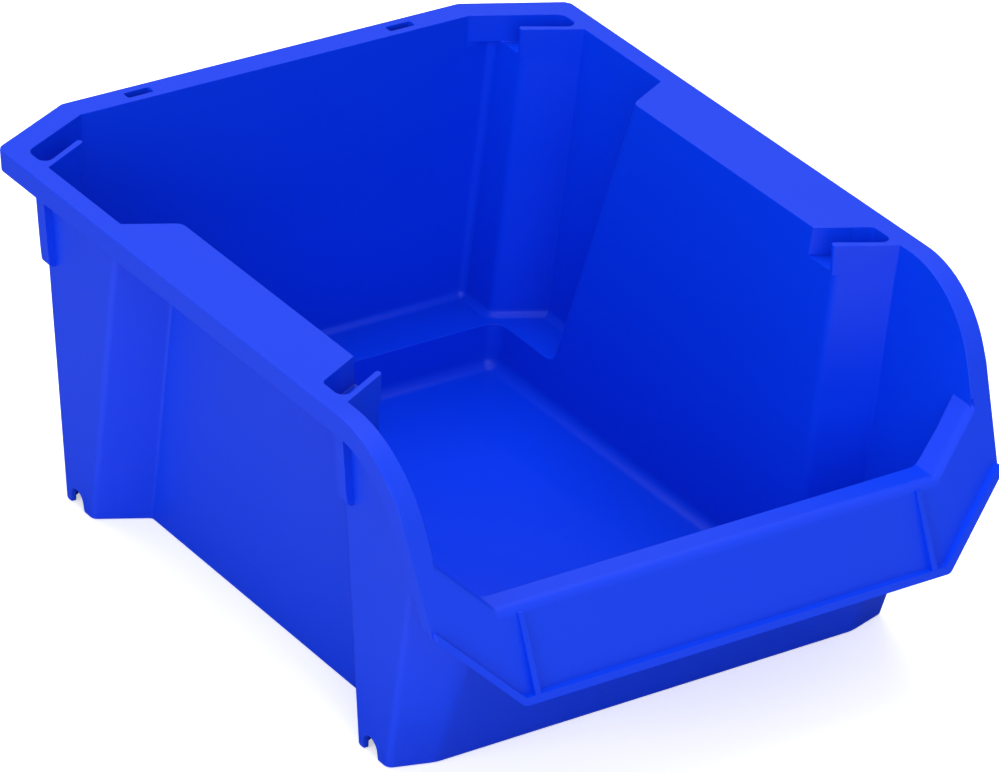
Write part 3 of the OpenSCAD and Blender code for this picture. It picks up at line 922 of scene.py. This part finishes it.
@dataclass(frozen=True)
class Region:
    """One named region of the moulding, cut out of it by a box.

    Ranges are in millimetres. `across` is the distance from the middle plane, `back` the
    distance from the back of the bin and `up` the height.
    """

    name: str
    across: tuple[float, float]
    back: tuple[float, float]
    up: tuple[float, float]
    nodes: tuple[str, ...]
    side: Side = Side.MIDDLE

    def build(self, moulding: Moulding) -> bpy.types.Object:
        """Cuts the region out of the moulding.

        Args:
            moulding: the whole bin, with its edges rounded.

        Returns:
            The closed piece.
        """
        x0, x1 = self.across
        y0, y1 = moulding.s.at(self.back[1]), moulding.s.at(self.back[0])
        box = [(x0, y1), (x1, y1), (x1, y0), (x0, y0)]
        tool = prism("box", box, *self.up, mirrored=self.side is Side.LEFT)
        piece = moulding.body.copy()
        piece.data = moulding.body.data.copy()
        piece.name = f"bin_{self.name}{self.side.value}"
        bpy.context.scene.collection.objects.link(piece)
        combine(piece, [tool], Join.KEEP)
        return piece

    def dress(
        self, piece: bpy.types.Object, material: bpy.types.Material, sharp: float
    ) -> None:
        """Shades the piece, gives it its material and ties it to the CAD frame.

        Args:
            piece: the closed piece.
            material: the plastic.
            sharp: angle in degrees from which an edge is shaded as sharp.
        """
        piece.data.materials.clear()
        piece.data.materials.append(material)
        bm = bmesh.new()
        bm.from_mesh(piece.data)
        limit = math.radians(sharp)
        for face in bm.faces:
            face.smooth = True
        for edge in bm.edges:
            edge.smooth = edge.is_manifold and edge.calc_face_angle() < limit
        bm.to_mesh(piece.data)
        bm.free()
        even = piece.modifiers.new("even", "WEIGHTED_NORMAL")
        even.keep_sharp = True
        even.weight = 100
        mesh = evaluated(piece)
        piece.modifiers.clear()
        piece.data = mesh
        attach(piece, "root")
        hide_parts(*self.nodes)


def both(name: str, across: Point, back: Point, up: Point, *nodes: str) -> list[Region]:
    """Makes a region on the right and its mirror image on the left."""
    return [
        Region(name, across, back, up, tuple(node + side.value for node in nodes), side)
        for side in (Side.RIGHT, Side.LEFT)
    ]


def regions() -> list[Region]:
    """Divides the bin into its regions, which fill its whole box without a gap."""
    low, high, lip = 20.0, 111.6, 66.0
    start, top = -9, 130
    mid, wide, end = 74.0, 130.0, 300.0
    foot, cheek, front, face = 79.0, 83.5, 226.0, 262.0
    rear, fore = 90.0, 196.0
    out = [
        Region(
            "base", (-foot, foot), (start, front), (start, low),
            (
                "floor_panel", "rear_ledge", "rear_ledge_riser", "floor_riser_left",
                "floor_riser_right",
            ),
        ),
        Region("back_wall", (-mid, mid), (start, rear), (low, high), ("back_wall",)),
        Region("front_wall", (-foot, foot), (front, face), (start, lip), ("front_wall",)),
        Region(
            "label_panel", (-wide, wide), (face, end), (start, lip),
            ("label_panel", "label_ledge", "label_rib_left", "label_rib_right"),
        ),
        Region("lip", (-cheek, cheek), (front, end), (lip, top), ("lip_top",)),
        Region("rim_back", (-mid, mid), (start, rear), (high, top), ("rim_back",)),
    ]
    out += both("rear_foot", (foot, wide), (start, 150), (start, low), "rear_pocket_floor")
    out += both("front_foot", (foot, wide), (150, face), (start, low), "front_pocket_floor")
    out += both(
        "rear_column", (mid, wide), (start, rear), (low, high),
        "return_wall", "rear_column_back", "rear_column_side", "rear_column_front",
    )
    out += both("side_wall", (mid, wide), (rear, fore), (low, high), "side_wall")
    out += both(
        "front_column", (mid, wide), (fore, front), (low, high),
        "front_column_back", "front_column_side",
    )
    out += both("front_corner", (foot, wide), (front, face), (low, lip), "front_corner")
    out += both("cheek", (cheek, wide), (front, end), (lip, high), "cheek", "lip_end")
    out += both(
        "rim_corner", (mid, wide), (start, rear), (high, top),
        "rim_corner", "rear_slot", "rear_nib", "rear_tab",
    )
    out += both("rim_side", (mid, wide), (rear, fore), (high, top), "rim_side", "shelf")
    out += both(
        "front_slot", (mid, wide), (fore, front), (high, top),
        "front_slot", "front_nib", "front_tab",
    )
    out += both("shoulder", (cheek, wide), (front, end), (high, top), "shoulder")
    return out


# ---------------------------------------------------------------- finish


def new_group(
    name: str, inputs: dict[str, float], outputs: dict[str, str]
) -> bpy.types.ShaderNodeTree:
    """Starts a shader node group.

    Args:
        name: name of the group.
        inputs: number inputs with their default values.
        outputs: outputs with their socket types.

    Returns:
        The group, with its input and output nodes.
    """
    group = bpy.data.node_groups.new(name, "ShaderNodeTree")
    for label, value in inputs.items():
        socket = group.interface.new_socket(
            name=label, in_out="INPUT", socket_type="NodeSocketFloat"
        )
        socket.default_value = value
    for label, kind in outputs.items():
        group.interface.new_socket(name=label, in_out="OUTPUT", socket_type=kind)
    group.nodes.new("NodeGroupInput").name = "in"
    group.nodes.new("NodeGroupOutput").name = "out"
    return group


def noise(tree: bpy.types.NodeTree, scale: float, detail: float) -> bpy.types.Node:
    """Adds a noise texture in object space to a node tree."""
    place = tree.nodes.new("ShaderNodeTexCoord")
    node = tree.nodes.new("ShaderNodeTexNoise")
    node.inputs["Scale"].default_value = scale
    node.inputs["Detail"].default_value = detail
    tree.links.new(place.outputs["Object"], node.inputs["Vector"])
    return node


def grain_group() -> bpy.types.ShaderNodeTree:
    """Builds the fine spark-eroded grain of the mould, as a normal."""
    group = new_group(
        "mould_grain", {"Scale": 2600.0, "Depth": 0.06}, {"Normal": "NodeSocketVector"}
    )
    start, end = group.nodes["in"], group.nodes["out"]
    texture = noise(group, 2600.0, 2.0)
    bump = group.nodes.new("ShaderNodeBump")
    bump.inputs["Distance"].default_value = 0.02 * MM
    group.links.new(start.outputs["Scale"], texture.inputs["Scale"])
    group.links.new(start.outputs["Depth"], bump.inputs["Strength"])
    group.links.new(texture.outputs["Fac"], bump.inputs["Height"])
    group.links.new(bump.outputs["Normal"], end.inputs["Normal"])
    return group


def flow_group() -> bpy.types.ShaderNodeTree:
    """Builds the slow, faint change of gloss over a large moulding, as a value."""
    group = new_group(
        "flow_marks", {"Scale": 14.0, "Low": 0.4, "High": 0.5}, {"Value": "NodeSocketFloat"}
    )
    start, end = group.nodes["in"], group.nodes["out"]
    texture = noise(group, 14.0, 3.0)
    spread = group.nodes.new("ShaderNodeMapRange")
    group.links.new(start.outputs["Scale"], texture.inputs["Scale"])
    group.links.new(texture.outputs["Fac"], spread.inputs["Value"])
    group.links.new(start.outputs["Low"], spread.inputs["To Min"])
    group.links.new(start.outputs["High"], spread.inputs["To Max"])
    group.links.new(spread.outputs["Result"], end.inputs["Value"])
    return group


@dataclass(frozen=True)
class MouldedPlastic:
    """Semi-matte dyed polypropylene, as it leaves the mould."""

    name: str = "moulded_blue_plastic"
    colour: tuple[float, float, float, float] = (0.0, 0.038, 0.69, 1.0)
    gloss_low: float = 0.36
    gloss_high: float = 0.46
    ior: float = 1.49
    shine: float = 0.45

    def build(self) -> bpy.types.Material:
        """Builds the material.

        Returns:
            The new material.
        """
        material = bpy.data.materials.new(self.name)
        material.use_nodes = True
        tree = material.node_tree
        shader = tree.nodes["Principled BSDF"]
        shader.inputs["Base Color"].default_value = self.colour
        shader.inputs["IOR"].default_value = self.ior
        shader.inputs["Specular IOR Level"].default_value = self.shine
        grain = tree.nodes.new("ShaderNodeGroup")
        grain.node_tree = grain_group()
        flow = tree.nodes.new("ShaderNodeGroup")
        flow.node_tree = flow_group()
        flow.inputs["Low"].default_value = self.gloss_low
        flow.inputs["High"].default_value = self.gloss_high
        tree.links.new(grain.outputs["Normal"], shader.inputs["Normal"])
        tree.links.new(flow.outputs["Value"], shader.inputs["Roughness"])
        return material


@dataclass(frozen=True)
class PaleFloor:
    """A matte white floor that shows dim in the gloss of the plastic."""

    shade: float = 0.93
    in_gloss: float = 0.03
    glow: float = 0.5

    def build(self) -> bpy.types.Material:
        """Builds the material.

        Returns:
            The new material.
        """
        material = bpy.data.materials.new("pale_floor")
        material.use_nodes = True
        tree = material.node_tree
        shader = tree.nodes["Principled BSDF"]
        shader.inputs["Roughness"].default_value = 0.9
        shader.inputs["Specular IOR Level"].default_value = 0.0
        path = tree.nodes.new("ShaderNodeLightPath")
        mix = tree.nodes.new("ShaderNodeMix")
        mix.data_type = "RGBA"
        mix.inputs["A"].default_value = (self.shade, self.shade, self.shade, 1.0)
        mix.inputs["B"].default_value = (self.in_gloss, self.in_gloss, self.in_gloss, 1.0)
        glow = tree.nodes.new("ShaderNodeMath")
        glow.operation = "MULTIPLY"
        glow.inputs[1].default_value = self.glow
        shader.inputs["Emission Color"].default_value = (1.0, 1.0, 1.0, 1.0)
        tree.links.new(path.outputs["Is Camera Ray"], glow.inputs[0])
        tree.links.new(glow.outputs["Value"], shader.inputs["Emission Strength"])
        tree.links.new(path.outputs["Is Glossy Ray"], mix.inputs["Factor"])
        tree.links.new(mix.outputs["Result"], shader.inputs["Base Color"])
        return material


# ---------------------------------------------------------------- the stage


@dataclass(frozen=True)
class Lamp:
    """One square area light that points at the bin. Its place and side are in millimetres."""

    name: str
    spot: Spot
    power: float
    size: float


@dataclass(frozen=True)
class Studio:
    """A white floor, soft lights and the camera. Places are in millimetres."""

    eye: Spot = (-1141.9, -1653.4, 1167.9)
    right: Spot = (0.833095, -0.551859, 0.037481)
    down: Spot = (-0.238237, -0.419149, -0.876104)
    ahead: Spot = (0.499196, 0.720948, -0.480664)
    lens: float = 259.87
    floor_size: float = 6000.0
    aim: float = 60.0
    sky: float = 0.46
    sky_start: float = 0.1
    sky_full: float = 0.4
    lamps: tuple[Lamp, ...] = (
        Lamp("top", (150, 500, 2200), 38.0, 1600),
        Lamp("front", (-900, -2300, 1100), 31.0, 1700),
        Lamp("side", (-2300, -500, 900), 28.0, 1500),
    )

    def floor(self) -> None:
        """Lays a wide white floor."""
        a = self.floor_size * MM
        bm = bmesh.new()
        bm.faces.new([bm.verts.new(c) for c in ((-a, -a, 0), (a, -a, 0), (a, a, 0), (-a, a, 0))])
        floor = to_object(bm, "floor")
        floor.location.z = -0.2 * MM
        floor.data.materials.append(PaleFloor().build())

    def light(self, lamp: Lamp) -> None:
        """Hangs one lamp and turns it to the bin."""
        data = bpy.data.lights.new(lamp.name, "AREA")
        data.energy = lamp.power
        data.size = lamp.size * MM
        obj = bpy.data.objects.new(lamp.name, data)
        place = Vector(lamp.spot) * MM
        aim = Vector((0, 0, self.aim * MM))
        obj.location = place
        obj.rotation_euler = (aim - place).to_track_quat("-Z", "Y").to_euler()
        obj.visible_glossy = False
        bpy.context.scene.collection.objects.link(obj)

    def camera(self) -> None:
        """Places the camera."""
        data = bpy.data.cameras.new("camera")
        data.sensor_width = 36.0
        data.lens = self.lens
        data.clip_start = 0.05
        data.clip_end = 50.0
        obj = bpy.data.objects.new("camera", data)
        axes = (self.right, tuple(-v for v in self.down), tuple(-v for v in self.ahead))
        turn = Matrix([list(row) for row in zip(*axes)]).to_4x4()
        obj.matrix_world = Matrix.Translation([v * MM for v in self.eye]) @ turn
        bpy.context.scene.collection.objects.link(obj)
        bpy.context.scene.camera = obj

    def build(self) -> None:
        """Builds the floor, the lights, the world and the camera."""
        self.floor()
        for lamp in self.lamps:
            self.light(lamp)
        world = bpy.data.worlds.new("studio")
        world.use_nodes = True
        tree = world.node_tree
        sky = tree.nodes["Background"]
        sky.inputs["Color"].default_value = (1, 1, 1, 1)
        place = tree.nodes.new("ShaderNodeTexCoord")
        split = tree.nodes.new("ShaderNodeSeparateXYZ")
        fade = tree.nodes.new("ShaderNodeMapRange")
        fade.inputs["From Min"].default_value = self.sky_start
        fade.inputs["From Max"].default_value = self.sky_full
        fade.inputs["To Max"].default_value = self.sky
        tree.links.new(place.outputs["Generated"], split.inputs["Vector"])
        tree.links.new(split.outputs["Z"], fade.inputs["Value"])
        tree.links.new(fade.outputs["Result"], sky.inputs["Strength"])
        bpy.context.scene.world = world
        bpy.context.scene.view_settings.view_transform = "Standard"
        self.camera()


def main() -> None:
    """Builds the bin and the stage."""
    logging.basicConfig(level=logging.INFO, format="%(message)s")
    soft = Softness()
    moulding = Moulding(BinSizes(), soft)
    moulding.build()
    moulding.round_edges()
    plastic = MouldedPlastic().build()
    for region in regions():
        piece = region.build(moulding)
        region.dress(piece, plastic, soft.sharp)
        LOG.info("%s: %d faces", piece.name, len(piece.data.polygons))
    remove(moulding.body)
    Studio().build()


if __name__ == "__main__":
    main()
